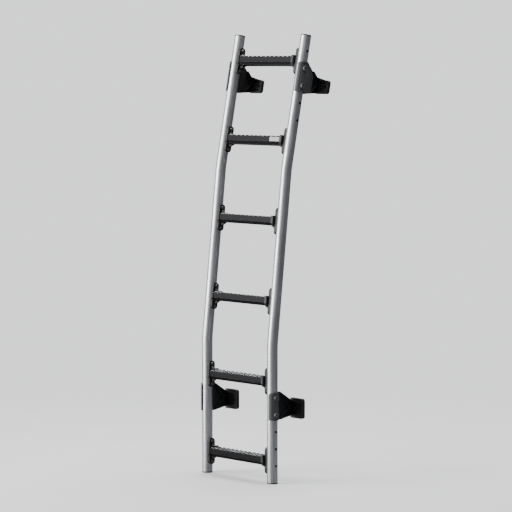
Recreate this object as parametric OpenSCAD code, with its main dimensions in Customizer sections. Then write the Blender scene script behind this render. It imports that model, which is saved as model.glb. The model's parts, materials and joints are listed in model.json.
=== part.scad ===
/* [Stiles] */
// Distance between the centre lines of the two stiles
stile_spacing = 320; // [290:5:400]
// Outside diameter of the stile tube
tube_d = 35; // [32:1:38]
// Wall thickness of the stile tube
tube_wall = 2; // [1.5:0.5:3]
// Height of the stiles without their caps
stile_h = 1452; // [1440:1:1500]
// Height of the lower knee above the bottom end
low_knee_z = 450; // [410:1:500]
// Depth of the upper knee below the top end
high_knee_drop = 432; // [422:1:500]
// Lean of the middle length away from upright, in degrees
lean_mid = 6.2; // [4:0.1:9]
// Lean of the top length away from upright, in degrees
lean_top = 11.3; // [10:0.1:14]
// Bend radius of the tube's centre line at both knees
bend_r = 300; // [200:10:400]
// Thinning of the tube's wall where it is bent
bend_thinning = 0.1; // [0.1:0.05:0.3]

/* [Adjustment holes] */
// Diameter of the holes on the outer side of each stile
hole_d = 9; // [7:0.5:11]
// Distance between two of these holes
hole_pitch = 56; // [54:1:58]
// Holes in each of the two rows of a stile
hole_count = 5; // [4:1:5]
// Height of the lowest hole of the lower row
low_row_z = 55; // [40:1:60]
// Depth of the highest hole of the upper row below the top end
high_row_drop = 50; // [44:1:56]

/* [Treads] */
// Number of treads
tread_count = 6; // [6:1:6]
// Height of the middle of the lowest tread
tread_1_z = 70; // [66:1:80]
// Depth of the middle of the highest tread below the top end
top_tread_drop = 82; // [78:1:92]
// Depth of a tread from front to back
tread_d = 38; // [34:1:44]
// Height of a tread with its ribs
tread_h = 30; // [26:1:34]
// Wall thickness of the tread extrusion
tread_wall = 2.4; // [1.6:0.2:3]
// Height of the chamfered lower edge
tread_chamfer_h = 10; // [6:1:12]
// Run of the chamfered lower edge
tread_chamfer_d = 6; // [4:1:9]
// Ribs along the top of a tread
rib_count = 4; // [3:1:5]
// Width of a rib
rib_w = 3.2; // [2:0.2:4]
// Height of a rib above the tread's deck
rib_h = 3.6; // [2:0.2:5]
// Distance between two teeth of a rib
tooth_pitch = 21; // [17:1:24]
// Width of the hollow between two teeth
tooth_gap = 12; // [8:1:14]

/* [Tread end castings] */
// Width of a casting's block across the tube
end_w = 25; // [22:1:28]
// Distance between the two bolt ears of a casting
ear_pitch = 66; // [64:1:72]
// Diameter of a bolt ear
ear_d = 22; // [18:1:24]
// Reach of the block from the centre of the tube
end_reach = 24; // [22:1:28]
// Depth of the collar round the tread
collar_depth = 9; // [7:1:14]
// Wall thickness of the collar
collar_wall = 2.5; // [2:0.5:4]
// Length of tread inside the collar
tread_seat = 6; // [3:1:6]
// Radius of the collar's corners
collar_corner = 2; // [1:0.5:3]
// Thickness of the gussets above and below the collar
gusset_t = 8; // [6:1:12]
// Reach of the lower gusset beyond the block
gusset_reach = 17; // [14:1:20]
// Depth of the lower gusset at its tip
gusset_tip = 3; // [2:0.5:4]
// Room that the gussets leave round the middle of a bolt
bolt_room = 7; // [6.5:0.5:9]
// Diameter of the tread bolts' holes
end_hole_d = 6.6; // [5:0.2:8.4]

/* [Brackets] */
// Distance from the tube's centre to the mounting surface, lower brackets
low_standoff = 95; // [85:1:120]
// Distance from the tube's centre to the mounting surface, upper brackets
high_standoff = 90; // [80:1:120]
// Half height of a lower bracket on the tube
low_half_h = 46; // [44:1:48]
// Half height of an upper bracket on the tube
high_half_h = 51; // [46:1:54]
// Height of a lower bracket's foot
low_foot_h = 66; // [60:1:80]
// Height of an upper bracket's foot
high_foot_h = 44; // [42:1:60]
// Rise of a lower foot's lower edge above the bracket's lower edge
low_foot_rise = 0; // [0:1:10]
// Rise of an upper foot's lower edge above the bracket's lower edge
high_foot_rise = 12; // [0:1:20]
// Height by which a lower foot overlaps the end of its web, above and below
low_foot_lip = 11; // [1:1:14]
// Height by which an upper foot overlaps the end of its web, above and below
high_foot_lip = 1; // [1:1:6]
// Reach of a foot flange from the middle of its web
foot_reach = 54; // [48:1:70]
// Thickness of a foot flange
foot_t = 8; // [6:1:10]
// Radius of a foot flange's free corners
foot_corner = 8; // [4:1:10]
// Distance between the two bolt holes of a foot
foot_hole_pitch = 26; // [22:1:28]
// Diameter of the bolt holes of a foot
foot_hole_d = 9; // [7:0.5:11]
// Thickness of an arm's web
web_t = 8; // [6:1:10]
// Length of the arm's full height behind the tube
neck = 8; // [6:1:12]
// Thickness of the ribs on an arm
arm_rib_t = 4; // [3:0.5:5]
// Height of an arm's ribs beside its web
arm_rib_h = 7; // [4:0.5:9]
// Length over which the edge ribs spread out to the flange
rib_flare = 10; // [8:1:26]
// Wall thickness of the saddle that holds the back of the tube
saddle_wall = 6; // [4:0.5:8]
// Wall thickness of a clamp round the tube
clamp_wall = 4; // [3:0.5:6]
// Reach of a lower clamp's tail behind the tube's centre
low_clamp_tail = 22; // [20:1:30]
// Reach of an upper clamp's tail behind the tube's centre
high_clamp_tail = 50; // [46:1:54]
// Drop of a lower clamp's back corner below its top
low_clamp_drop = 5; // [3:1:12]
// Drop of an upper clamp's back corner below its top
high_clamp_drop = 40; // [30:1:46]
// Width of the rim round a clamp's sunk panel
clamp_rim = 5; // [4:0.5:6]
// Depth of the sunk panel
panel_depth = 1.2; // [0.8:0.1:1.6]
// Diameter of the raised seat under a clamp bolt
bolt_seat_d = 18; // [16:1:20]
// Height of the raised seat above the clamp's skin
bolt_seat_h = 1; // [0.5:0.5:2]

/* [Pads and caps] */
// Thickness of a foot pad
pad_t = 4; // [2:0.5:8]
// Length of a cap's plug inside the tube
cap_plug = 20; // [12:1:30]
// Thickness of a cap outside the tube
cap_t = 4; // [3:0.5:8]
// Radius of a cap's rounded edge
cap_round = 2; // [1:0.5:2.5]

/* [Fits] */
// Gap between two curved faces that seat on each other
seat_gap = 0.3; // [0.2:0.1:0.5]

/* [Hidden] */
$fn = 64;
ARC_STEPS = 6;
CUT = 1;
// Length over which a bend laps into the straight tube
bend_lap = 3;
// Corner radii of a clamp's outline, from its lower front corner
clamp_corners = [6, 6, 8, 12, 12];
LEFT = -1;
RIGHT = 1;
SIDES = [LEFT, RIGHT];
LEVELS = [0, 1];

tube_r = tube_d / 2;
tube_bore_r = tube_r - tube_wall;
seat_r = tube_r + seat_gap;
half_spacing = stile_spacing / 2;
high_knee_z = stile_h - high_knee_drop;
high_row_z = stile_h - high_row_drop;
// Rise from one tread to the next
tread_pitch = (stile_h - top_tread_drop - tread_1_z) / (tread_count - 1);
neck_y = tube_r + neck;
// The saddle wraps the tube's inner side as far as the tread end castings leave it free
saddle_wrap = acos((end_w / 2 + seat_gap) / seat_r);
foot_inner = -web_t / 2;
foot_mid_x = (foot_inner + foot_reach) / 2;
foot_hole_x = (web_t / 2 + foot_reach) / 2;
rib_x = web_t / 2 + arm_rib_h;
clamp_r = seat_r + clamp_wall;

low_tangent = bend_r * tan(lean_mid / 2);
high_tangent = bend_r * tan((lean_top - lean_mid) / 2);
low_run = low_knee_z - low_tangent;
mid_run = (high_knee_z - low_knee_z) / cos(lean_mid) - low_tangent - high_tangent;
top_run = (stile_h - high_knee_z) / cos(lean_top) - high_tangent;

deck_z = tread_h / 2 - rib_h;
tread_l = stile_spacing - 2 * (end_reach + collar_depth - tread_seat);
tooth_count = floor(tread_l / tooth_pitch);
rib_step = (tread_d - rib_w) / (rib_count - 1);
end_h = ear_pitch + ear_d;

// Per level of bracket, lower then upper
bolt_z = [low_row_z + (hole_count - 1) * hole_pitch, high_row_z - hole_pitch];
bracket_z = [for (z = bolt_z) z - hole_pitch / 2];
standoff = [low_standoff, high_standoff];
half_h = [low_half_h, high_half_h];
foot_h = [low_foot_h, high_foot_h];
foot_rise = [low_foot_rise, high_foot_rise];
foot_lip = [low_foot_lip, high_foot_lip];
clamp_tail = [low_clamp_tail, high_clamp_tail];
clamp_drop = [low_clamp_drop, high_clamp_drop];

side_name = function (side) side == LEFT ? "left" : "right";
level_name = function (level) level == 0 ? "lower" : "upper";
stile_name = function (side) str("stile_", side_name(side));
tread_name = function (i) str("tread_", i + 1);
end_name = function (side, i) str("end_", side_name(side), "_", i + 1);
arm_name = function (side, level) str("arm_", level_name(level), "_", side_name(side));
clamp_name = function (side, level) str("clamp_", level_name(level), "_", side_name(side));
pad_name = function (side, level) str("pad_", level_name(level), "_", side_name(side));
top_cap_name = function (side) str("cap_top_", side_name(side));
foot_cap_name = function (side) str("cap_foot_", side_name(side));

// Outline helpers: a polygon whose corners are rounded by arcs
function unit(v) = v / norm(v);

function swing(a) = a > 180 ? a - 360 : a < -180 ? a + 360 : a;

function corner(before, at, after, r) =
    r <= 0 ? [at] :
    let (u = unit(before - at), v = unit(after - at))
    let (half = acos(u * v) / 2, run = r / tan(half))
    let (centre = at + unit(u + v) * r / sin(half))
    let (start = at + u * run - centre, end = at + v * run - centre)
    let (from = atan2(start.y, start.x), turn = swing(atan2(end.y, end.x) - from))
    [for (k = [0 : ARC_STEPS]) let (a = from + turn * k / ARC_STEPS) centre + r * [cos(a), sin(a)]];

function rounded(points, radii) =
    let (n = len(points), each_r = is_list(radii) ? radii : [for (p = points) radii])
    [for (i = [0 : n - 1]) each corner(points[(i + n - 1) % n], points[i], points[(i + 1) % n], each_r[i])];

// Centre line of a stile at a height: its depth and its lean
function axis_y(z) =
    z <= low_knee_z ? 0 :
    z <= high_knee_z ? (z - low_knee_z) * tan(lean_mid) :
    (high_knee_z - low_knee_z) * tan(lean_mid) + (z - high_knee_z) * tan(lean_top);

function lean(z) = z <= low_knee_z ? 0 : z <= high_knee_z ? lean_mid : lean_top;

function tread_z(i) = tread_1_z + i * tread_pitch;

function foot_mid(level) = -half_h[level] + foot_rise[level] + foot_h[level] / 2;

// The origin is the middle of the lower left foot's contact face
module from_foot() {
    translate([half_spacing - foot_mid_x, -low_standoff, -bracket_z[0] - foot_mid(0)])
        children();
}

// Local frame on a stile: +X to the right, +Z along the tube
module along_stile(side, z) {
    from_foot()
        translate([side * half_spacing, axis_y(z), z])
            rotate([-lean(z), 0, 0])
                children();
}

// Turn what is drawn for the right stile over for the left one
module facing(side) {
    mirror([side == LEFT ? 1 : 0, 0, 0])
        children();
}

// Local frame on a stile: +X out of the ladder, +Z along the tube
module on_stile(side, z) {
    along_stile(side, z)
        facing(side)
            children();
}

// Local frame of a tread: +X along it, +Z along the stiles
module on_tread(i) {
    from_foot()
        translate([0, axis_y(tread_z(i)), tread_z(i)])
            rotate([-lean(tread_z(i)), 0, 0])
                children();
}

// Lay an outline drawn in Y and Z, and give it a thickness along X
module along_x(from, to) {
    translate([from, 0, 0])
        rotate([90, 0, 90])
            linear_extrude(to - from)
                children();
}

// Stiles
module straight_tube(h) {
    difference() {
        cylinder(r = tube_r, h = h);
        translate([0, 0, -CUT])
            cylinder(r = tube_bore_r, h = h + 2 * CUT);
    }
}

// A knee laps into the straight tube at both ends, inside its wall
module knee(angle) {
    lap = bend_lap / bend_r * 180 / PI;
    translate([0, bend_r, 0])
        rotate([90, 0, -90])
            rotate([0, 0, -lap])
                rotate_extrude(angle = angle + 2 * lap)
                    translate([bend_r, 0])
                        difference() {
                            circle(tube_r - bend_thinning / 2);
                            circle(tube_bore_r + bend_thinning / 2);
                        }
}

module bent_tube() {
    straight_tube(low_run);
    translate([0, 0, low_run])
        knee(lean_mid);
    translate([0, axis_y(low_knee_z), low_knee_z])
        rotate([-lean_mid, 0, 0])
            translate([0, 0, low_tangent]) {
                straight_tube(mid_run);
                translate([0, 0, mid_run])
                    knee(lean_top - lean_mid);
            }
    translate([0, axis_y(high_knee_z), high_knee_z])
        rotate([-lean_top, 0, 0])
            translate([0, 0, high_tangent])
                straight_tube(top_run);
}

module cross_hole(z, r) {
    translate([0, axis_y(z), z])
        rotate([-lean(z), 0, 0])
            rotate([0, 90, 0])
                cylinder(r = r, h = tube_d);
}

// Height of a casting's lower or upper bolt
function ear_z(i, s) = tread_z(i) + s * ear_pitch / 2 * cos(lean(tread_z(i)));

module stile(side) {
    color("gainsboro")
        from_foot()
            translate([side * half_spacing, 0, 0])
                facing(side)
                    difference() {
                        bent_tube();
                        for (k = [0 : hole_count - 1]) {
                            cross_hole(low_row_z + k * hole_pitch, hole_d / 2);
                            cross_hole(high_row_z - k * hole_pitch, hole_d / 2);
                        }
                        mirror([1, 0, 0])
                            for (i = [0 : tread_count - 1], s = [-1, 1])
                                cross_hole(ear_z(i, s), end_hole_d / 2);
                    }
}

// Treads: their outline up to a height, grown on all sides
function tread_outline(top, grow) =
    let (y = tread_d / 2 + grow, low = -tread_h / 2 - grow)
    [[-y, low + tread_chamfer_h], [-y + tread_chamfer_d, low], [y - tread_chamfer_d, low],
     [y, low + tread_chamfer_h], [y, top + grow], [-y, top + grow]];

module tread_profile() {
    difference() {
        polygon(tread_outline(deck_z, 0));
        polygon(tread_outline(deck_z, -tread_wall));
    }
    for (k = [1 : rib_count - 2])
        translate([-tread_d / 2 + k * rib_step, -tread_h / 2])
            square([rib_w, deck_z + tread_h / 2]);
    for (k = [0 : rib_count - 1])
        translate([-tread_d / 2 + k * rib_step, deck_z])
            square([rib_w, rib_h]);
}

module tread(i) {
    color("dimgray")
        on_tread(i)
            difference() {
                along_x(-tread_l / 2, tread_l / 2)
                    tread_profile();
                for (k = [0 : tooth_count])
                    translate([(k - tooth_count / 2) * tooth_pitch, 0, deck_z + tooth_gap / 2])
                        rotate([90, 0, 0])
                            cylinder(d = tooth_gap, h = tread_d + 2 * CUT, center = true);
            }
}

// Tread end castings, drawn for +X out of the ladder, so the tread lies towards -X
module end_block() {
    points = [[-end_w, -end_h] / 2, [end_w, -end_h] / 2, [end_w, end_h] / 2, [-end_w, end_h] / 2];
    along_x(-end_reach, -seat_r / 2)
        polygon(rounded(points, ear_d / 2));
}

// The collar closes over the tread's ribs
module collar() {
    along_x(-end_reach - collar_depth, -end_reach)
        polygon(rounded(tread_outline(tread_h / 2, collar_wall), collar_corner));
}

// Outline drawn in X and Z, with a thickness either side of Y = 0
module gusset(points) {
    translate([0, gusset_t / 2, 0])
        rotate([90, 0, 0])
            linear_extrude(gusset_t)
                polygon(points);
}

module gussets() {
    edge = tread_h / 2 + collar_wall;
    free = ear_pitch / 2 - bolt_room;
    gusset([[-end_reach, -edge + collar_wall / 2], [-end_reach - gusset_reach, -edge + collar_wall / 2],
            [-end_reach - gusset_reach, -edge - gusset_tip], [-end_reach, -max(free, edge + gusset_tip)]]);
    gusset([[-end_reach, edge - collar_wall / 2], [-end_reach - collar_depth, edge - collar_wall / 2],
            [-end_reach - collar_depth, edge], [-end_reach, max(free, edge)]]);
}

module tread_end(side, i) {
    color("#161618")
        on_stile(side, tread_z(i))
            difference() {
                union() {
                    end_block();
                    collar();
                    gussets();
                }
                cylinder(r = seat_r, h = end_h + 2 * CUT, center = true);
                along_x(-end_reach - gusset_reach - CUT, -end_reach - collar_depth + tread_seat)
                    polygon(tread_outline(tread_h / 2, seat_gap));
                for (s = [-1, 1])
                    translate([0, 0, s * ear_pitch / 2])
                        rotate([0, -90, 0])
                            cylinder(d = end_hole_d, h = end_reach + CUT);
            }
}

// Brackets, drawn along the tube with Y = 0 at its centre line
function foot_low(level) = -half_h[level] + foot_rise[level];

function foot_front(level) = standoff[level] - pad_t - foot_t;

// Lower and upper edge of an arm's web, from its neck to the foot
function web_low(level, y) =
    let (run = max(0, y - neck_y) / (foot_front(level) - neck_y))
    -half_h[level] + run * (foot_rise[level] + foot_lip[level]);

function web_high(level, y) =
    let (run = max(0, y - neck_y) / (foot_front(level) - neck_y))
    let (end = foot_low(level) + foot_h[level] - foot_lip[level])
    half_h[level] + run * (end - half_h[level]);

module web(level) {
    front = foot_front(level);
    along_x(-web_t / 2, web_t / 2)
        polygon([[0, -half_h[level]], [neck_y, -half_h[level]], [front, web_low(level, front)],
                 [front, web_high(level, front)], [neck_y, half_h[level]], [0, half_h[level]]]);
}

module saddle(level) {
    r = seat_r + saddle_wall;
    steps = 2 * ARC_STEPS;
    translate([0, 0, -half_h[level]])
        linear_extrude(2 * half_h[level])
            polygon([[web_t / 2, 0], [web_t / 2, sqrt(r * r - web_t * web_t / 4)],
                     for (k = [0 : steps]) let (a = 90 + saddle_wrap * k / steps) r * [cos(a), sin(a)],
                     [0, 0]]);
}

// A rib beside the web, between two points of Y and Z, under an outline of X and Y
module rib(level, plan, low, high) {
    intersection() {
        along_x(0, foot_reach)
            polygon([low, high, high + [0, arm_rib_t], low + [0, arm_rib_t]]);
        translate([0, 0, -half_h[level]])
            linear_extrude(2 * half_h[level])
                polygon(plan);
    }
}

// Ribs along both edges of the web, spread to the flange, and two that cross
module ribs(level) {
    front = foot_front(level);
    start = max(neck_y, clamp_tail[level] + 2 * seat_gap);
    lift = [0, arm_rib_t];
    low = [[start, web_low(level, start)], [front, web_low(level, front)]];
    high = [[start, web_high(level, start)] - lift, [front, web_high(level, front)] - lift];
    spread = [[0, start], [rib_x, start], [rib_x, front - rib_flare],
              [foot_reach - foot_corner, front], [0, front]];
    straight = [[0, start], [rib_x, start], [rib_x, front], [0, front]];
    rib(level, spread, low[0], low[1]);
    rib(level, spread, high[0], high[1]);
    rib(level, straight, low[0], high[1]);
    rib(level, straight, high[0], low[1]);
}

module foot_plate(level, y, t) {
    points = [[foot_inner, 0], [foot_reach, 0], [foot_reach, foot_h[level]], [foot_inner, foot_h[level]]];
    translate([0, y + t, foot_low(level)])
        rotate([90, 0, 0])
            linear_extrude(t)
                polygon(rounded(points, [0, foot_corner, foot_corner, 0]));
}

module foot_holes(level, y, t) {
    for (s = [-1, 1])
        translate([foot_hole_x + s * foot_hole_pitch / 2, y + t, foot_mid(level)])
            rotate([90, 0, 0])
                cylinder(d = foot_hole_d, h = t);
}

module arm(side, level) {
    front = foot_front(level);
    color("#141416")
        along_stile(side, bracket_z[level])
            difference() {
                union() {
                    web(level);
                    facing(side)
                        saddle(level);
                    ribs(level);
                    foot_plate(level, front, foot_t);
                }
                cylinder(r = seat_r, h = 2 * half_h[level] + 2 * CUT, center = true);
                foot_holes(level, front - CUT, foot_t + 2 * CUT);
            }
}

module pad(side, level) {
    color("#0b0b0c")
        along_stile(side, bracket_z[level])
            difference() {
                foot_plate(level, standoff[level] - pad_t, pad_t);
                foot_holes(level, standoff[level] - pad_t - CUT, pad_t + 2 * CUT);
            }
}

// Clamps: a shell round the outer half of the tube with a tail beside the arm's web.
// The outline in X and Y, its skin moved inwards by a depth
function clamp_plan(level, depth) =
    let (r = clamp_r - depth, tail = [web_t / 2 + clamp_wall - depth, clamp_tail[level]])
    let (off = atan2(tail.x, tail.y), wrap = acos(r / norm(tail)), steps = 4 * ARC_STEPS)
    [[0, 0], [0, -r],
     for (k = [0 : steps]) let (a = -90 + (180 - off - wrap) * k / steps) r * [cos(a), sin(a)],
     tail, [0, clamp_tail[level]]];

// The outline in Y and Z, moved inwards by an inset
function clamp_side(level, inset) =
    let (h = half_h[level] - inset, r = clamp_r - inset, tail = clamp_tail[level] - inset)
    let (rise = foot_rise[level] * clamp_tail[level] / foot_front(level))
    [[-r, -h], [tail, -h + rise], [tail, h - clamp_drop[level]], [clamp_r / 2 - inset / 2, h], [-r, h]];

module clamp_panel(level, inset) {
    along_x(web_t / 2 + seat_gap, 2 * clamp_r)
        polygon(rounded(clamp_side(level, inset), [for (r = clamp_corners) r - inset / 2]));
}

module clamp_shell(level, depth) {
    translate([0, 0, -half_h[level]])
        linear_extrude(2 * half_h[level])
            polygon(clamp_plan(level, depth));
}

module clamp_skin(level) {
    difference() {
        intersection() {
            clamp_shell(level, 0);
            clamp_panel(level, 0);
        }
        difference() {
            clamp_panel(level, clamp_rim);
            clamp_shell(level, panel_depth);
        }
    }
}

// Place on a bracket of a bolt through the tube, looking out of the ladder
module at_bolts(level) {
    for (s = [-1, 1])
        translate([0, 0, s * hole_pitch / 2 / cos(lean(bracket_z[level]))])
            rotate([0, 90, 0])
                children();
}

module clamp(side, level) {
    color("#3c3d40")
        on_stile(side, bracket_z[level])
            difference() {
                union() {
                    clamp_skin(level);
                    at_bolts(level)
                        translate([0, 0, seat_r - clamp_wall])
                            cylinder(d = bolt_seat_d, h = 2 * clamp_wall + bolt_seat_h);
                }
                cylinder(r = seat_r, h = 2 * half_h[level] + 2 * CUT, center = true);
                at_bolts(level)
                    cylinder(d = hole_d, h = 2 * clamp_r);
            }
}

// Caps
module cap_body() {
    cylinder(r = tube_bore_r - seat_gap, h = cap_plug);
    rotate_extrude()
        polygon([[0, 0], [tube_r, 0],
                 for (k = [0 : ARC_STEPS]) let (a = 90 * k / ARC_STEPS)
                     [tube_r - cap_round, cap_round - cap_t] + cap_round * [cos(a), -sin(a)],
                 [0, -cap_t]]);
}

module top_cap(side) {
    color("#1a1a1c")
        from_foot()
            translate([side * half_spacing, axis_y(stile_h), stile_h])
                rotate([-lean_top, 0, 0])
                    mirror([0, 0, 1])
                        cap_body();
}

module foot_cap(side) {
    color("#1a1a1c")
        from_foot()
            translate([side * half_spacing, 0, 0])
                cap_body();
}

for (s = SIDES)
    stile(s);
for (i = [0 : tread_count - 1])
    tread(i);
for (s = SIDES, i = [0 : tread_count - 1])
    tread_end(s, i);
for (s = SIDES, l = LEVELS)
    arm(s, l);
for (s = SIDES, l = LEVELS)
    clamp(s, l);
for (s = SIDES, l = LEVELS)
    pad(s, l);
for (s = SIDES)
    top_cap(s);
for (s = SIDES)
    foot_cap(s);
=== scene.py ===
# %% [markdown]
# A vehicle ladder: two bent aluminium tubes, six serrated treads and four stand-off brackets.
# The construction is already solid and to size, so it is loaded as a fixed frame. This script gives every
# surface its finish and adds the small fasteners. Nothing in the frame is moved or reshaped.

# %% Load the fixed frame
import json
import math

import bmesh
import bpy
from mathutils import Matrix, Vector


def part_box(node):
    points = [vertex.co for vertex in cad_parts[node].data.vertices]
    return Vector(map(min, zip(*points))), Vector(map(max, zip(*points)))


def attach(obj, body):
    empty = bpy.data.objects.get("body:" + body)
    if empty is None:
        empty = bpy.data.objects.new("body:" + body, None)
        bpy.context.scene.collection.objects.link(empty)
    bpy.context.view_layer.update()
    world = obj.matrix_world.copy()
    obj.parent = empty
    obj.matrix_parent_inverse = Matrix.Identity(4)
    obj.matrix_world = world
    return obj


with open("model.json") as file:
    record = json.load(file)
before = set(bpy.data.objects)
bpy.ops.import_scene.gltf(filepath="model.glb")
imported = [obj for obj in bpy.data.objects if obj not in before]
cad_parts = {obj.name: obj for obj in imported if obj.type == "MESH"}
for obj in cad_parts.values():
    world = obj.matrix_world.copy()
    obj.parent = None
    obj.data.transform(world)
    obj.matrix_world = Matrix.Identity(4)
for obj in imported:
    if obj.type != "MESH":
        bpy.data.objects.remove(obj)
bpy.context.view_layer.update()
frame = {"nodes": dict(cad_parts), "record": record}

nodes = frame["nodes"]

# %% [markdown]
# Where things are. A stile is upright at its foot, leans in the middle and leans more at the top. Its knees
# and treads stand at known heights above the foot, which are named here. The rest is measured from the
# frame, so that it can't go stale: the foot caps give the stiles' centre lines, and an upper foot gives the
# lean at the top. With that, any fastener can be placed by its height on a stile.

# %% Places on the ladder
MM = 0.001
UP = Vector((0, 0, 1))
LOW_KNEE = 450 * MM
HIGH_KNEE = 1020 * MM
LEAN_MID = math.radians(6.2)
TREAD_1_Z = 70 * MM
TREAD_PITCH = 260 * MM
TREAD_COUNT = 6

mounts = {mount["name"]: mount for mount in frame["record"]["mounts"]}
foot_axis = mounts["upper_left_foot"]["axis"]
LEAN_TOP = math.atan2(-foot_axis[2], foot_axis[1])


def middle(node):
    low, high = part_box(node)
    return (Vector(low) + Vector(high)) / 2


foot_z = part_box("stile_left")[0][2]
stile_foot = {side: Vector((middle("cap_foot_" + side).x, middle("cap_foot_" + side).y, foot_z))
              for side in ("left", "right")}


def lean(z):
    """How far the stile leans at a height above its foot."""
    return 0 if z <= LOW_KNEE else LEAN_MID if z <= HIGH_KNEE else LEAN_TOP


def axis_y(z):
    """How far back the stile's centre line is at a height above its foot."""
    middle_rise = min(max(z - LOW_KNEE, 0), HIGH_KNEE - LOW_KNEE)
    return middle_rise * math.tan(LEAN_MID) + max(z - HIGH_KNEE, 0) * math.tan(LEAN_TOP)


def on_stile(side, z):
    """The frame of a stile at a height: +X points out of the ladder, +Z along the tube."""
    flip = Matrix.Scale(-1, 4, (1, 0, 0)) if side == "left" else Matrix.Identity(4)
    place = Matrix.Translation(stile_foot[side] + Vector((0, axis_y(z), z)))
    return place @ Matrix.Rotation(-lean(z), 4, "X") @ flip


def tread_z(i):
    return TREAD_1_Z + i * TREAD_PITCH


def middle_of_tread(i):
    foot = (stile_foot["left"] + stile_foot["right"]) / 2
    return foot + Vector((0, axis_y(tread_z(i)), tread_z(i)))


print("lean at the top:", round(math.degrees(LEAN_TOP), 2), "degrees")
print("highest tread:", round(tread_z(TREAD_COUNT - 1), 3), "m above the foot")

# %% [markdown]
# Two helpers carry all the materials. Colours are picked as sRGB hex values, as a paint chart gives them,
# and Blender's sockets want linear light, so one function converts them. Shader trees are built in code
# because a tree that is typed can be read from top to bottom, and one function adds any kind of node.

# %% Material helpers
def linear(colour):
    """An sRGB hex colour as linear RGBA."""
    channels = [int(colour[i:i + 2], 16) / 255 for i in (1, 3, 5)]
    return [c / 12.92 if c <= 0.04045 else ((c + 0.055) / 1.055) ** 2.4 for c in channels] + [1]


def add(tree, kind, settings=None, inputs=None):
    """Adds a node: settings are its attributes, inputs are values or the outputs to link from."""
    node = tree.nodes.new("ShaderNode" + kind)
    for name, value in (settings or {}).items():
        setattr(node, name, value)
    for name, value in (inputs or {}).items():
        if isinstance(value, bpy.types.NodeSocket):
            tree.links.new(value, node.inputs[name])
        else:
            node.inputs[name].default_value = value
    return node


def new_material(name):
    """An empty material with its output node."""
    made = bpy.data.materials.new(name)
    made.use_nodes = True
    made.node_tree.nodes.clear()
    output = made.node_tree.nodes.new("ShaderNodeOutputMaterial")
    return made, made.node_tree, output


def ramp(tree, factor, stops):
    """A colour ramp: stops are (position, hex colour)."""
    node = add(tree, "ValToRGB", inputs={"Fac": factor})
    elements = node.color_ramp.elements
    while len(elements) < len(stops):
        elements.new(0.5)
    for element, (position, colour) in zip(elements, stops):
        element.position = position
        element.color = linear(colour)
    return node.outputs["Color"]


# %% [markdown]
# The stiles are clear anodised aluminium tube. The tube is drawn through a die, which leaves fine lines and
# wider streaks along it, and the anodising turns them satin. The lines follow the bends, so the pattern
# can't be a plain stretch along Z. Here the centre line's offset is taken off Y first, which straightens the
# tube for the noise. Real lines are some hundredths of a millimetre apart; these are 0.6 mm, to be seen.

# %% Anodised aluminium tube
def straightened(tree):
    """Object coordinates with the stile's bends taken out."""
    position = add(tree, "TexCoord").outputs["Object"]
    parts = add(tree, "SeparateXYZ", inputs={"Vector": position})
    offset = parts.outputs["Y"]
    steps = [(LOW_KNEE, math.tan(LEAN_MID)), (HIGH_KNEE, math.tan(LEAN_TOP) - math.tan(LEAN_MID))]
    for knee, slope in steps:
        above = add(tree, "Math", {"operation": "SUBTRACT"}, {0: parts.outputs["Z"], 1: foot_z + knee})
        rise = add(tree, "Math", {"operation": "MAXIMUM"}, {0: above.outputs[0], 1: 0})
        shift = add(tree, "Math", {"operation": "MULTIPLY"}, {0: rise.outputs[0], 1: -slope})
        offset = add(tree, "Math", {"operation": "ADD"}, {0: offset, 1: shift.outputs[0]}).outputs[0]
    joined = add(tree, "CombineXYZ", inputs={"X": parts.outputs["X"], "Y": offset, "Z": parts.outputs["Z"]})
    return joined.outputs["Vector"]


def anodised_tube():
    made, tree, output = new_material("anodised aluminium tube")
    straight = straightened(tree)
    line_spacing = 0.6 * MM
    streak_width = 2.5 * MM
    streak_length = 160 * MM
    cloud_size = 111 * MM
    fine = add(tree, "Mapping", inputs={"Vector": straight,
                                        "Scale": (1 / line_spacing, 1 / line_spacing, 1 / streak_length)})
    coarse = add(tree, "Mapping", inputs={"Vector": straight,
                                          "Scale": (1 / streak_width, 1 / streak_width, 1 / streak_length)})
    lines = add(tree, "TexNoise", inputs={"Vector": fine.outputs[0], "Scale": 1, "Detail": 3})
    streaks = add(tree, "TexNoise", inputs={"Vector": coarse.outputs[0], "Scale": 1, "Detail": 4})
    cloud = add(tree, "TexNoise", inputs={"Vector": straight, "Scale": 1 / cloud_size, "Detail": 4,
                                          "Roughness": 0.6})
    tint = ramp(tree, streaks.outputs["Fac"], [(0.3, "#BEC0C4"), (0.7, "#E8E9EB")])
    gloss = add(tree, "MapRange", inputs={"Value": cloud.outputs["Fac"], "From Min": 0.3, "From Max": 0.7,
                                          "To Min": 0.33, "To Max": 0.47})
    bump = add(tree, "Bump", inputs={"Height": lines.outputs["Fac"], "Strength": 0.4, "Distance": 0.06 * MM})
    shader = add(tree, "BsdfPrincipled", inputs={"Base Color": tint, "Metallic": 1,
                                                 "Roughness": gloss.outputs["Result"],
                                                 "Normal": bump.outputs["Normal"]})
    tree.links.new(shader.outputs["BSDF"], output.inputs["Surface"])
    return made
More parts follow.
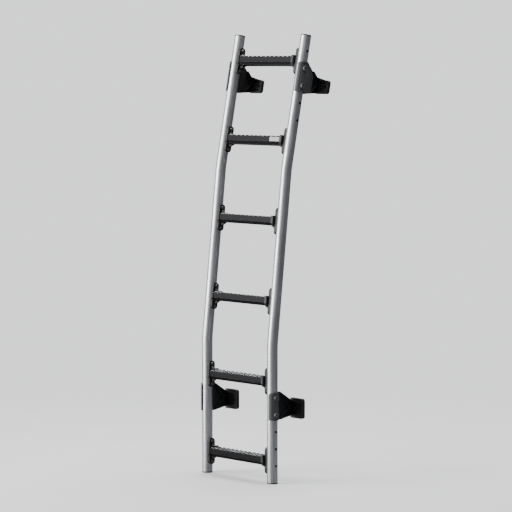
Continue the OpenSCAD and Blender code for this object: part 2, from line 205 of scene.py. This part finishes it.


# %% [markdown]
# The treads are dark anodised aluminium extrusion. The extruding leaves lines along the tread. The tips of
# the teeth are painted pale, so that they show as a row of bright dots. This is partly wear, where boots rub
# the dark layer off, and partly a painted highlight for the light that the tips catch. Rubbed edges could be
# painted by hand, but a bevelled normal finds them by itself: where it turns away from the true normal,
# there is an edge. The tips are found by their height in the tread's own frame.

# %% Dark anodised extrusion
def edge_mask(tree, width, sharp):
    """1 along edges, within a width of them, and 0 on flat faces; sharp is the dot product that gives 1."""
    soft = add(tree, "Bevel", {"samples": 6}, {"Radius": width})
    hard = add(tree, "NewGeometry")
    same = add(tree, "VectorMath", {"operation": "DOT_PRODUCT"},
               {0: soft.outputs["Normal"], 1: hard.outputs["Normal"]})
    mask = add(tree, "MapRange", inputs={"Value": same.outputs["Value"], "From Min": 1, "From Max": sharp,
                                         "To Min": 0, "To Max": 1})
    return mask.outputs["Result"]


TREAD_H = 30 * MM
TREAD_D = 38 * MM


def dark_extrusion(name, centre, tilt):
    """The finish of one tread, whose frame lies at centre and leans by tilt."""
    made, tree, output = new_material(name)
    position = add(tree, "TexCoord").outputs["Object"]
    local = add(tree, "Mapping", {"vector_type": "TEXTURE"},
                {"Vector": position, "Location": centre, "Rotation": (-tilt, 0, 0)}).outputs[0]
    line_spacing = 0.7 * MM
    streak_length = 80 * MM
    grit_size = 2 * MM
    edge_width = 0.8 * MM
    tip = TREAD_H / 2
    pitches = (1 / streak_length, 1 / line_spacing, 1 / line_spacing)
    stretch = add(tree, "Mapping", inputs={"Vector": local, "Scale": pitches})
    lines = add(tree, "TexNoise", inputs={"Vector": stretch.outputs[0], "Scale": 1, "Detail": 3})
    base = ramp(tree, lines.outputs["Fac"], [(0.3, "#202021"), (0.7, "#2A2A2B")])
    grit = add(tree, "TexNoise", inputs={"Vector": local, "Scale": 1 / grit_size, "Detail": 3})
    height = add(tree, "SeparateXYZ", inputs={"Vector": local})
    # The tips of the teeth are painted pale, partly as wear and partly as a painted highlight for the light
    # they catch.
    tips = add(tree, "MapRange", inputs={"Value": height.outputs["Z"], "From Min": tip - 1.2 * MM,
                                         "From Max": tip - 0.2 * MM, "To Min": 0, "To Max": 1})
    rubbed_and_highlit = add(tree, "Math", {"operation": "MAXIMUM"},
                 {0: tips.outputs["Result"], 1: edge_mask(tree, edge_width, 0.75)})
    patchy = add(tree, "MapRange", inputs={"Value": grit.outputs["Fac"], "From Min": 0.3, "From Max": 0.55,
                                           "To Min": 0.3, "To Max": 1})
    wear_and_highlight = add(tree, "Math", {"operation": "MULTIPLY"}, {0: rubbed_and_highlit.outputs[0], 1: patchy.outputs["Result"]})
    # The pale colour on tips and edges is partly wear and partly painted highlight.
    colour = add(tree, "MixRGB", inputs={"Fac": wear_and_highlight.outputs[0], "Color1": base,
                                         "Color2": linear("#D2D3D6")})
    gloss = add(tree, "MapRange", inputs={"Value": lines.outputs["Fac"], "From Min": 0.3, "From Max": 0.7,
                                          "To Min": 0.4, "To Max": 0.52})
    bump = add(tree, "Bump", inputs={"Height": lines.outputs["Fac"], "Strength": 0.15,
                                     "Distance": 0.06 * MM})
    shader = add(tree, "BsdfPrincipled", inputs={"Base Color": colour.outputs[0], "Metallic": 1,
                                                 "Roughness": gloss.outputs["Result"],
                                                 "Normal": bump.outputs["Normal"]})
    tree.links.new(shader.outputs["BSDF"], output.inputs["Surface"])
    return made


# %% [markdown]
# The end castings and the arms are glass-filled nylon. It is moulded in a spark-eroded tool, so its skin has
# an even grain of a few tenths of a millimetre, and it is nearly black with a soft sheen.

# %% Glass-filled nylon
def filled_nylon():
    made, tree, output = new_material("glass-filled nylon")
    position = add(tree, "TexCoord").outputs["Object"]
    grain = 0.5 * MM
    flow_size = 33 * MM
    edge_width = 0.7 * MM
    skin = add(tree, "TexVoronoi", {"feature": "SMOOTH_F1"}, {"Vector": position, "Scale": 1 / grain})
    flow = add(tree, "TexNoise", inputs={"Vector": position, "Scale": 1 / flow_size, "Detail": 4})
    base = ramp(tree, flow.outputs["Fac"], [(0.3, "#161617"), (0.7, "#1E1E1F")])
    rub = add(tree, "MixRGB", inputs={"Fac": edge_mask(tree, edge_width, 0.7), "Color1": base,
                                      "Color2": linear("#323234")})
    gloss = add(tree, "MapRange", inputs={"Value": flow.outputs["Fac"], "From Min": 0.3, "From Max": 0.7,
                                          "To Min": 0.46, "To Max": 0.58})
    bump = add(tree, "Bump", inputs={"Height": skin.outputs["Distance"], "Strength": 0.35,
                                     "Distance": 0.08 * MM})
    shader = add(tree, "BsdfPrincipled", inputs={"Base Color": rub.outputs[0], "IOR": 1.53,
                                                 "Roughness": gloss.outputs["Result"],
                                                 "Normal": bump.outputs["Normal"]})
    tree.links.new(shader.outputs["BSDF"], output.inputs["Surface"])
    return made


# %% [markdown]
# The clamps are cast metal under a satin grey powder coat. The powder melts into a skin with a fine orange
# peel, a millimetre or two from crest to crest, and it thins to a lighter line on the edges.

# %% Powder coat
def powder_coat():
    made, tree, output = new_material("grey powder coat")
    position = add(tree, "TexCoord").outputs["Object"]
    peel_size = 1.4 * MM
    fleck_size = 0.4 * MM
    edge_width = 0.8 * MM
    peel = add(tree, "TexNoise", inputs={"Vector": position, "Scale": 1 / peel_size, "Detail": 2})
    fleck = add(tree, "TexNoise", inputs={"Vector": position, "Scale": 1 / fleck_size, "Detail": 1})
    base = ramp(tree, fleck.outputs["Fac"], [(0.35, "#5C5D5F"), (0.65, "#67686A")])
    rub = add(tree, "MixRGB", inputs={"Fac": edge_mask(tree, edge_width, 0.7), "Color1": base,
                                      "Color2": linear("#808184")})
    bump = add(tree, "Bump", inputs={"Height": peel.outputs["Fac"], "Strength": 0.8, "Distance": 0.3 * MM})
    shader = add(tree, "BsdfPrincipled", inputs={"Base Color": rub.outputs[0], "Metallic": 0.25,
                                                 "Roughness": 0.4, "IOR": 1.5,
                                                 "Normal": bump.outputs["Normal"]})
    tree.links.new(shader.outputs["BSDF"], output.inputs["Surface"])
    return made


# %% [markdown]
# The pads are matt black rubber with a faint bloom, and the caps are moulded polyethylene with a waxy sheen.
# Both are the same idea with other colours and gloss, so one function makes either.

# %% Rubber and polyethylene
def soft_polymer(name, low, high, roughness, ior):
    """A moulded skin whose colour drifts between two tones."""
    made, tree, output = new_material(name)
    position = add(tree, "TexCoord").outputs["Object"]
    bloom_size = 16.7 * MM
    grain = 0.6 * MM
    bloom = add(tree, "TexNoise", inputs={"Vector": position, "Scale": 1 / bloom_size, "Detail": 5,
                                          "Roughness": 0.6})
    base = ramp(tree, bloom.outputs["Fac"], [(0.3, low), (0.7, high)])
    fine = add(tree, "TexNoise", inputs={"Vector": position, "Scale": 1 / grain, "Detail": 2})
    bump = add(tree, "Bump", inputs={"Height": fine.outputs["Fac"], "Strength": 0.25, "Distance": 0.08 * MM})
    shader = add(tree, "BsdfPrincipled", inputs={"Base Color": base, "Roughness": roughness, "IOR": ior,
                                                 "Normal": bump.outputs["Normal"]})
    tree.links.new(shader.outputs["BSDF"], output.inputs["Surface"])
    return made


# %% [markdown]
# Now each node of the frame gets its finish. A real edge is never razor sharp, and the small radius on it is
# what catches the light, so the nodes also get a weld and a narrow bevel. Both are modifiers, so the frame's
# own meshes stay as they are. Only the stiles go without: caps and inserts cover their edges, and the bevel
# would disturb the normals that carry the long reflections round the bends.

# %% Dress the frame
finish_of = {
    "stile": anodised_tube(),
    "end": filled_nylon(),
    "clamp": powder_coat(),
    "pad": soft_polymer("foot rubber", "#0E0E0F", "#151516", 0.8, 1.52),
    "cap": soft_polymer("black polyethylene", "#151517", "#1C1C1E", 0.45, 1.51),
}
finish_of["arm"] = finish_of["end"]
for i in range(TREAD_COUNT):
    finish_name = f"dark anodised extrusion {i + 1}"
    finish_of[f"tread_{i + 1}"] = dark_extrusion(finish_name, middle_of_tread(i), lean(tread_z(i)))
EDGE = {"tread": 0.35 * MM, "end": 0.9 * MM, "arm": 0.9 * MM, "clamp": 0.8 * MM, "pad": 0.5 * MM,
        "cap": 0.8 * MM}
WELD_REACH = 0.01 * MM
SHARP_ANGLE = math.radians(40)


def soften(piece, width):
    """Weld the tessellated faces and round the sharp edges."""
    weld = piece.modifiers.new("weld", "WELD")
    weld.merge_threshold = WELD_REACH
    bevel = piece.modifiers.new("edge radius", "BEVEL")
    bevel.width = width
    bevel.segments = 2
    bevel.limit_method = "ANGLE"
    bevel.angle_limit = SHARP_ANGLE
    bevel.harden_normals = True


for name, node in nodes.items():
    family = name.split("_")[0]
    node.data.materials.clear()
    node.data.materials.append(finish_of.get(name) or finish_of[family])
    if family in EDGE:
        soften(node, EDGE[family])
print("dressed:", len(nodes), "nodes with", len(set(finish_of.values())), "finishes")

# %% [markdown]
# Fasteners. A socket head is a turned form with a hexagon pressed into it. It could be cut with a boolean,
# but a loft is cleaner: rings of points from the seat to the bottom of the socket, round ones outside and
# six-sided ones inside, joined by quads. The ears get button heads. The clamps get countersunk ones, which
# end flush with the clamp's seats.

# %% Lofted bolt
RING_POINTS = 36


def ring(radius, height, flats=False):
    """A ring of points; flats gives a hexagon whose half width across flats is the radius."""
    points = []
    for k in range(RING_POINTS):
        angle = 2 * math.pi * k / RING_POINTS
        reach = radius
        if flats:
            turn = angle % (math.pi / 3) - math.pi / 6
            reach = radius / math.cos(turn)
        points.append(Vector((reach * math.cos(angle), reach * math.sin(angle), height)))
    return points


def loft(name, rings, material):
    """Joins rings, from the bottom cap round to the last one, into one closed mesh object."""
    mesh = bmesh.new()
    rows = [[mesh.verts.new(point) for point in points] for points in rings]
    for lower, upper in zip(rows, rows[1:]):
        for k in range(RING_POINTS):
            after = (k + 1) % RING_POINTS
            mesh.faces.new((lower[k], lower[after], upper[after], upper[k]))
    mesh.faces.new(list(reversed(rows[0])))
    mesh.faces.new(rows[-1])
    bmesh.ops.recalc_face_normals(mesh, faces=mesh.faces)
    data = bpy.data.meshes.new(name)
    mesh.to_mesh(data)
    mesh.free()
    data.shade_smooth()
    data.set_sharp_from_angle(angle=math.radians(35))
    made = bpy.data.objects.new(name, data)
    bpy.context.scene.collection.objects.link(made)
    made.data.materials.append(material)
    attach(made, "root")
    return made


def button_bolt(name, thread_d, material):
    """A button head, its seat at Z = 0 and its top towards +Z; its sizes follow from the thread."""
    head_r = 0.875 * thread_d
    head_h = 0.55 * thread_d
    socket_r = 0.31 * thread_d
    socket_rim = 1.25 * socket_r
    edge = 0.04 * thread_d
    rim_h = 3 * edge
    rings = [ring(head_r - edge, 0), ring(head_r, edge), ring(head_r, rim_h)]
    for angle in (math.radians(degrees) for degrees in range(15, 90, 15)):
        rings.append(ring(socket_rim + (head_r - socket_rim) * math.cos(angle),
                          rim_h + (head_h - rim_h) * math.sin(angle)))
    rings += [ring(socket_r, head_h, True), ring(socket_r, 0.4 * head_h, True),
              ring(0.2 * socket_r, 0.3 * head_h)]
    return loft(name, rings, material)


def countersunk_bolt(name, thread_d, material):
    """A countersunk head, the face it is sunk into at Z = 0 and its top towards +Z."""
    head_r = 0.92 * thread_d
    shank_r = 0.48 * thread_d
    socket_r = 0.31 * thread_d
    socket_rim = 1.25 * socket_r
    cone_h = head_r - thread_d / 2
    proud = 0.1 * MM
    chamfer = 0.3 * MM
    shank = [ring(shank_r, -1.2 * thread_d), ring(shank_r, -cone_h)]
    head = [ring(head_r, -chamfer), ring(head_r, 0), ring(head_r - chamfer, proud), ring(socket_rim, proud)]
    socket = [ring(socket_r, proud - chamfer, True), ring(socket_r, -0.35 * thread_d, True),
              ring(0.2 * socket_r, -0.4 * thread_d)]
    rings = shank + head + socket
    return loft(name, rings, material)


# %% [markdown]
# The bolts are steel with a zinc coat. Zinc goes on bright and dulls in the weather to a cloudy grey, so its
# colour and its gloss both drift over a few millimetres: where it is brighter, it is also smoother.

# %% Zinc-plated steel
def plated_steel(name, dull, bright):
    made, tree, output = new_material(name)
    position = add(tree, "TexCoord").outputs["Object"]
    cloud_size = 3 * MM
    marks = add(tree, "TexNoise", inputs={"Vector": position, "Scale": 1 / cloud_size, "Detail": 4})
    base = ramp(tree, marks.outputs["Fac"], [(0.35, dull), (0.65, bright)])
    gloss = add(tree, "MapRange", inputs={"Value": marks.outputs["Fac"], "From Min": 0.35, "From Max": 0.65,
                                          "To Min": 0.5, "To Max": 0.34})
    bump = add(tree, "Bump", inputs={"Height": marks.outputs["Fac"], "Strength": 0.2, "Distance": 0.05 * MM})
    shader = add(tree, "BsdfPrincipled", inputs={"Base Color": base, "Metallic": 1,
                                                 "Roughness": gloss.outputs["Result"],
                                                 "Normal": bump.outputs["Normal"]})
    tree.links.new(shader.outputs["BSDF"], output.inputs["Surface"])
    return made


steel = plated_steel("zinc-plated steel", "#77787A", "#9B9C9E")
# The inserts' black is partly their own black zinc and partly painted shade for the dark of a free hole.
black_zinc_and_hole_shade = plated_steel("black zinc with painted hole shade", "#1B1B1C", "#262627")
print("plated finishes:", steel.name, "and", black_zinc_and_hole_shade.name)

# %% [markdown]
# Each end casting is held by two bolts, one in the ear above its tread and one in the ear below. A bolt is
# lofted upright, so it is turned to face the middle of the ladder and then set on its stile's own frame,
# which is mirrored on the left. One rule places all 24, and nothing is measured by eye.

# %% Bolts in the ears
EAR_THREAD = 6 * MM
EAR_HALF = 33 * MM
BLOCK_REACH = 24 * MM
inward = Matrix.Rotation(math.radians(-90), 4, "Y")

for side in ("left", "right"):
    for i in range(TREAD_COUNT):
        place = on_stile(side, tread_z(i))
        for ear, height in (("low", -EAR_HALF), ("high", EAR_HALF)):
            bolt = button_bolt(f"ear_bolt_{side}_{i + 1}_{ear}", EAR_THREAD, steel)
            bolt.matrix_world = place @ Matrix.Translation((-BLOCK_REACH, 0, height)) @ inward
print("ear bolts:", 2 * 2 * TREAD_COUNT)

# %% [markdown]
# Each stile has two rows of five holes on its outer side, and a clamp is bolted through two of each row, so
# the bracket's height can be chosen. A thread cut in a thin wall doesn't hold, so such holes carry closed
# threaded inserts. An insert is the same loft as a bolt, with rings that go down its bore, and its thread is
# rings of two radii in turn. It is black, partly as its own black zinc and partly as painted shade, so that
# from afar it reads as the dark spot of a free hole.

# %% Hole rows
HOLE_PITCH = 56 * MM
HOLES = 5
LOWEST_HOLE = 55 * MM
HIGHEST_HOLE = 1402 * MM
ROWS = {"lower": LOWEST_HOLE, "upper": HIGHEST_HOLE - (HOLES - 1) * HOLE_PITCH}
CLAMPED = {"lower": (3, 4), "upper": (2, 3)}
CLAMP_THREAD = 8 * MM
CLAMP_FACE = 22.8 * MM
INSERT_FACE = 16.9 * MM
outward = Matrix.Rotation(math.radians(90), 4, "Y")


def insert(name, material):
    """A closed threaded insert for a 9 mm hole, its rim at Z = 0 and its sleeve towards -Z."""
    sleeve_r = 4.35 * MM
    mouth_r = 3.8 * MM
    root_r = 3.5 * MM
    crest_r = 3.1 * MM
    depth = 12 * MM
    pitch = 1.25 * MM
    turns = 8
    rings = [ring(sleeve_r, -depth), ring(sleeve_r, -0.3 * MM), ring(sleeve_r - 0.2 * MM, 0)]
    rings.append(ring(mouth_r, 0))
    for k in range(turns):
        rings += [ring(crest_r, -(k + 0.5) * pitch), ring(root_r, -(k + 1) * pitch)]
    rings.append(ring(crest_r, -depth + pitch))
    return loft(name, rings, material)


for side in ("left", "right"):
    for row, row_z in ROWS.items():
        for k in range(HOLES):
            place = on_stile(side, row_z + k * HOLE_PITCH)
            if k in CLAMPED[row]:
                name = f"clamp_bolt_{row}_{side}_{k + 1}"
                bolt = countersunk_bolt(name, CLAMP_THREAD, steel)
                bolt.matrix_world = place @ Matrix.Translation((CLAMP_FACE, 0, 0)) @ outward
            else:
                # The dark insert stands partly for the shade in a free hole.
                nut = insert(f"insert_{row}_{side}_{k + 1}", black_zinc_and_hole_shade)
                nut.matrix_world = place @ Matrix.Translation((INSERT_FACE, 0, 0)) @ outward
clamp_bolts = 2 * sum(len(holes) for holes in CLAMPED.values())
print("clamp bolts:", clamp_bolts, "inserts:", 2 * len(ROWS) * HOLES - clamp_bolts)

# %% [markdown]
# A small pale badge sits on the front of the second tread from the top: a film with round corners, stuck on
# near the right end. A flat card would do from afar, but a plate with a real thickness catches the light on
# its rim. It is left blank.

# %% Blank badge
BADGE_W = 46 * MM
BADGE_H = 14 * MM
BADGE_T = 0.8 * MM
BADGE_CORNER = 2 * MM
BADGE_INSET = 58 * MM
BADGE_RISE = 3 * MM
BADGE_TREAD = 4
CORNER_STEPS = 6


def rounded_plate(name, width, height, thickness, radius, material):
    """A plate with round corners, its back at Y = 0 and its front towards -Y."""
    mesh = bmesh.new()
    outline = []
    for centre_x, centre_z, start in ((1, 1, 0), (-1, 1, 90), (-1, -1, 180), (1, -1, 270)):
        for k in range(CORNER_STEPS + 1):
            angle = math.radians(start + 90 * k / CORNER_STEPS)
            outline.append(Vector((centre_x * (width / 2 - radius) + radius * math.cos(angle), 0,
                                   centre_z * (height / 2 - radius) + radius * math.sin(angle))))
    face = mesh.faces.new([mesh.verts.new(point) for point in outline])
    grown = bmesh.ops.extrude_face_region(mesh, geom=[face])
    moved = [item for item in grown["geom"] if isinstance(item, bmesh.types.BMVert)]
    bmesh.ops.translate(mesh, verts=moved, vec=(0, -thickness, 0))
    bmesh.ops.recalc_face_normals(mesh, faces=mesh.faces)
    data = bpy.data.meshes.new(name)
    mesh.to_mesh(data)
    mesh.free()
    made = bpy.data.objects.new(name, data)
    bpy.context.scene.collection.objects.link(made)
    data.materials.append(material)
    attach(made, "root")
    return made


badge_finish = soft_polymer("satin label film", "#B9BABC", "#C4C5C7", 0.35, 1.49)
badge = rounded_plate("badge", BADGE_W, BADGE_H, BADGE_T, BADGE_CORNER, badge_finish)
front_of_tread = Matrix.Translation((-BADGE_INSET, -TREAD_D / 2, BADGE_RISE))
badge.matrix_world = on_stile("right", tread_z(BADGE_TREAD)) @ front_of_tread
print("badge at", [round(v, 3) for v in badge.matrix_world.translation])

# %% [markdown]
# The stage is a round sheet of pale paper. A sheet that curves up into a wall would hide the ladder from
# behind, so this one lies flat. Its material turns clear towards the rim, so that it melts into the backdrop
# with no horizon line. White paper would also light the ladder from below, more than the ground does
# outdoors, so only the camera sees it pale, and the ladder is lit as if by grey ground.

# %% Paper floor
FLOOR_R = 2.8
FADE_FROM = 0.7
FIBRE_SIZE = 0.33
FLOOR_POINTS = 96


def paper():
    made, tree, output = new_material("studio paper")
    position = add(tree, "TexCoord").outputs["Object"]
    fibre = add(tree, "TexNoise", inputs={"Vector": position, "Scale": 1 / FIBRE_SIZE, "Detail": 4})
    pale = ramp(tree, fibre.outputs["Fac"], [(0.3, "#E3E4E5"), (0.7, "#E8E8E9")])
    base = add(tree, "MixRGB", inputs={"Fac": add(tree, "LightPath").outputs["Is Camera Ray"],
                                       "Color1": linear("#67686A"), "Color2": pale})
    shader = add(tree, "BsdfPrincipled", inputs={"Base Color": base.outputs[0], "Roughness": 0.75})
    reach = add(tree, "VectorMath", {"operation": "LENGTH"}, {0: position})
    fade = add(tree, "MapRange", {"interpolation_type": "SMOOTHSTEP"},
               {"Value": reach.outputs["Value"], "From Min": FADE_FROM, "From Max": FLOOR_R})
    clear = add(tree, "BsdfTransparent")
    mixed = add(tree, "MixShader", inputs={0: fade.outputs["Result"], 1: shader.outputs["BSDF"],
                                           2: clear.outputs["BSDF"]})
    tree.links.new(mixed.outputs[0], output.inputs["Surface"])
    return made


def paper_floor():
    mesh = bmesh.new()
    bmesh.ops.create_circle(mesh, cap_ends=True, segments=FLOOR_POINTS, radius=FLOOR_R)
    data = bpy.data.meshes.new("floor")
    mesh.to_mesh(data)
    mesh.free()
    made = bpy.data.objects.new("floor", data)
    bpy.context.scene.collection.objects.link(made)
    data.materials.append(paper())
    return made


floor_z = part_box("cap_foot_left")[0][2]
target = (middle("stile_left") + middle("stile_right")) / 2
paper_floor().location = (target.x, target.y, floor_z)
print("floor at", round(floor_z, 4), "middle of the ladder", [round(v, 3) for v in target])

# %% [markdown]
# The camera stands at the photo's own viewpoint: 8.27 m off, 47 degrees round to the right and 1.37 m above
# the foot of the ladder. A long lens fills the picture with the ladder and keeps that perspective.

# %% Camera
CAMERA_DISTANCE = 8.27
CAMERA_HEIGHT = 1.37
LENS = 180
VIEW_AZIMUTH = math.radians(47.2)
toward_camera = Vector((math.sin(VIEW_AZIMUTH), -math.cos(VIEW_AZIMUTH), 0))
camera_data = bpy.data.cameras.new("camera")
camera_data.lens = LENS
camera_data.clip_end = 60
camera = bpy.data.objects.new("camera", camera_data)
bpy.context.scene.collection.objects.link(camera)
camera.location = stile_foot["right"] + toward_camera * CAMERA_DISTANCE + UP * CAMERA_HEIGHT
camera.rotation_euler = (target - camera.location).to_track_quat("-Z", "Y").to_euler()
bpy.context.scene.camera = camera
print("camera at", [round(v, 2) for v in camera.location])

# %% [markdown]
# Studio light: a tall soft box on the camera's left makes the bright streak down each tube, and a wide one
# overhead lights the tops of the treads and the paper. Neither is seen by the camera itself.

# %% Lights
def soft_box(name, azimuth, elevation, distance, size, power):
    """An area light that faces the ladder from an azimuth, as the camera's azimuth is counted."""
    data = bpy.data.lights.new(name, "AREA")
    data.shape = "RECTANGLE"
    data.size, data.size_y = size
    data.energy = power
    made = bpy.data.objects.new(name, data)
    bpy.context.scene.collection.objects.link(made)
    turn, rise = math.radians(azimuth), math.radians(elevation)
    away = Vector((math.sin(turn) * math.cos(rise), -math.cos(turn) * math.cos(rise), math.sin(rise)))
    made.location = target + away * distance
    made.rotation_euler = (-away).to_track_quat("-Z", "Y").to_euler()
    made.visible_camera = False


soft_box("key", azimuth=-28, elevation=14, distance=4.5, size=(2.2, 4.8), power=330)
soft_box("top", azimuth=200, elevation=75, distance=4.5, size=(5, 5), power=480)

# %% [markdown]
# The world is the studio's own soft light: bright towards the key side and dim on the other, which gives
# each tube its dark edge. What the camera sees behind the ladder is a plain pale backdrop instead, the same
# from all sides, and the Light Path node tells the two apart.

# %% World
KEY_SIDE = math.radians(-50)
SURROUND_STRENGTH = 0.5
BACKDROP_STRENGTH = 1.7
world = bpy.data.worlds.new("studio")
bpy.context.scene.world = world
world.use_nodes = True
sky = world.node_tree
surround = sky.nodes["Background"]
surround.inputs["Strength"].default_value = SURROUND_STRENGTH
direction = add(sky, "TexCoord").outputs["Generated"]
toward_key = add(sky, "VectorMath", {"operation": "DOT_PRODUCT"},
                 {0: direction, 1: (math.sin(KEY_SIDE), -math.cos(KEY_SIDE), 0.2)})
glow = add(sky, "MapRange", inputs={"Value": toward_key.outputs["Value"], "From Min": -0.6, "From Max": 1})
tones = ramp(sky, glow.outputs["Result"], [(0, "#838487"), (1, "#F2F3F5")])
sky.links.new(tones, surround.inputs["Color"])
backdrop = add(sky, "Background", inputs={"Color": linear("#E8E9EB"), "Strength": BACKDROP_STRENGTH})
camera_ray = add(sky, "LightPath").outputs["Is Camera Ray"]
seen = add(sky, "MixShader", inputs={0: camera_ray, 1: surround.outputs["Background"],
                                     2: backdrop.outputs["Background"]})
sky.links.new(seen.outputs[0], sky.nodes["World Output"].inputs["Surface"])
print("world:", len(sky.nodes), "nodes")
